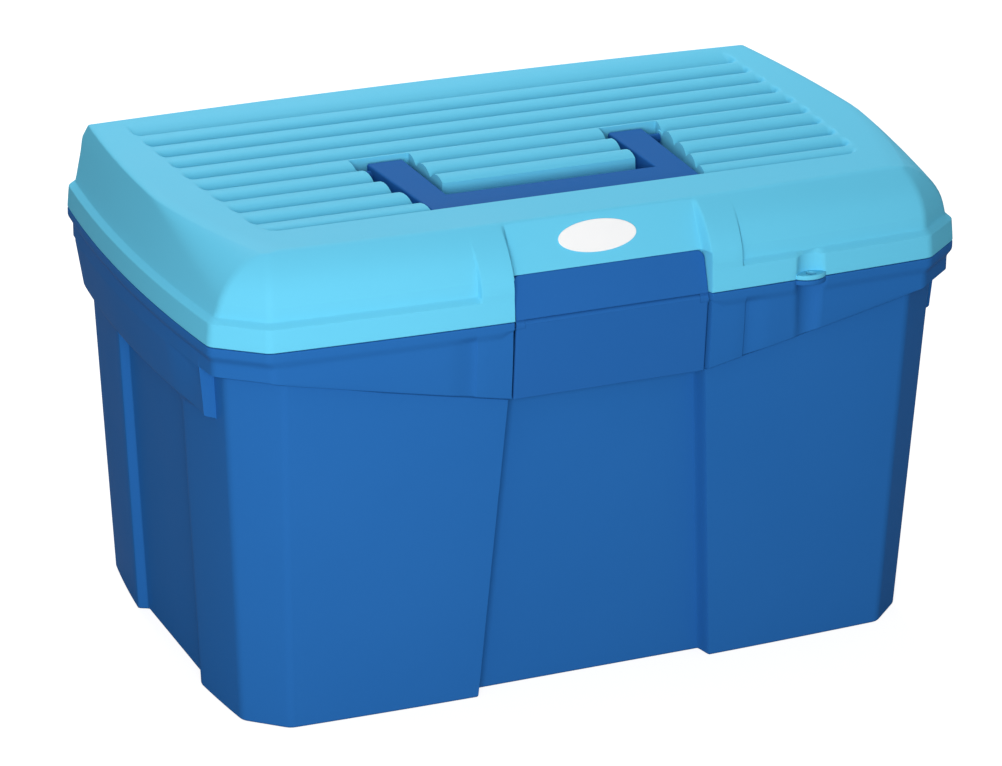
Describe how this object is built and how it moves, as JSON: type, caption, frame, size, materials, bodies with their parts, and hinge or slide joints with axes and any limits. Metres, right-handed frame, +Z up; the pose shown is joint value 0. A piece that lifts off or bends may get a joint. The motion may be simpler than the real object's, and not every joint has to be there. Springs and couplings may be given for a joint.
{
  "type": "grooming box",
  "caption": "Moulded plastic grooming box with a hinged ribbed lid, a carry handle folding into the lid, a wide front latch flap, a padlock eye and a lift-out divided tray.",
  "frame": {"origin": "middle of the base, on the surface that the box stands on", "axes": "+X to the right along the front, -Y out of the front, +Z up"},
  "size_m": [0.4, 0.2663, 0.2406],
  "materials": {
    "tub_plastic": "moulded, satin",
    "lid_plastic": "moulded, satin",
    "trim_plastic": "moulded, satin",
    "tray_plastic": "moulded, satin",
    "pin_steel": "plain",
    "label_plate": "smooth, blank"
  },
  "bodies": {
    "tub": {"tub": "tub_plastic", "hinge_pin_left": "pin_steel", "hinge_pin_right": "pin_steel"},
    "lid": {"lid": "lid_plastic", "label": "label_plate", "latch_plate": "trim_plastic", "latch_pin": "pin_steel", "handle_pivot_left": "trim_plastic", "handle_pivot_right": "trim_plastic"},
    "handle": {"carry_handle": "trim_plastic"},
    "flap": {"latch_flap": "trim_plastic"},
    "tray": {"tray": "tray_plastic"}
  },
  "joints": [
    {"name": "lid_open", "type": "hinge", "parent": "tub", "child": "lid", "pos_m": [0, 0.13052, 0.19865], "axis": [-1, 0, 0], "range_deg": [0, 105]},
    {"name": "handle_lift", "type": "hinge", "parent": "lid", "child": "handle", "pos_m": [0, -0.0036, 0.2338], "axis": [-1, 0, 0], "range_deg": [0, 95]},
    {"name": "latch_open", "type": "hinge", "parent": "lid", "child": "flap", "pos_m": [0, -0.1253, 0.196], "axis": [-1, 0, 0], "range_deg": [0, 85]},
    {"name": "tray_lift", "type": "slide", "parent": "tub", "child": "tray", "axis": [0, 0, 1], "range_m": [0, 0.018]}
  ]
}
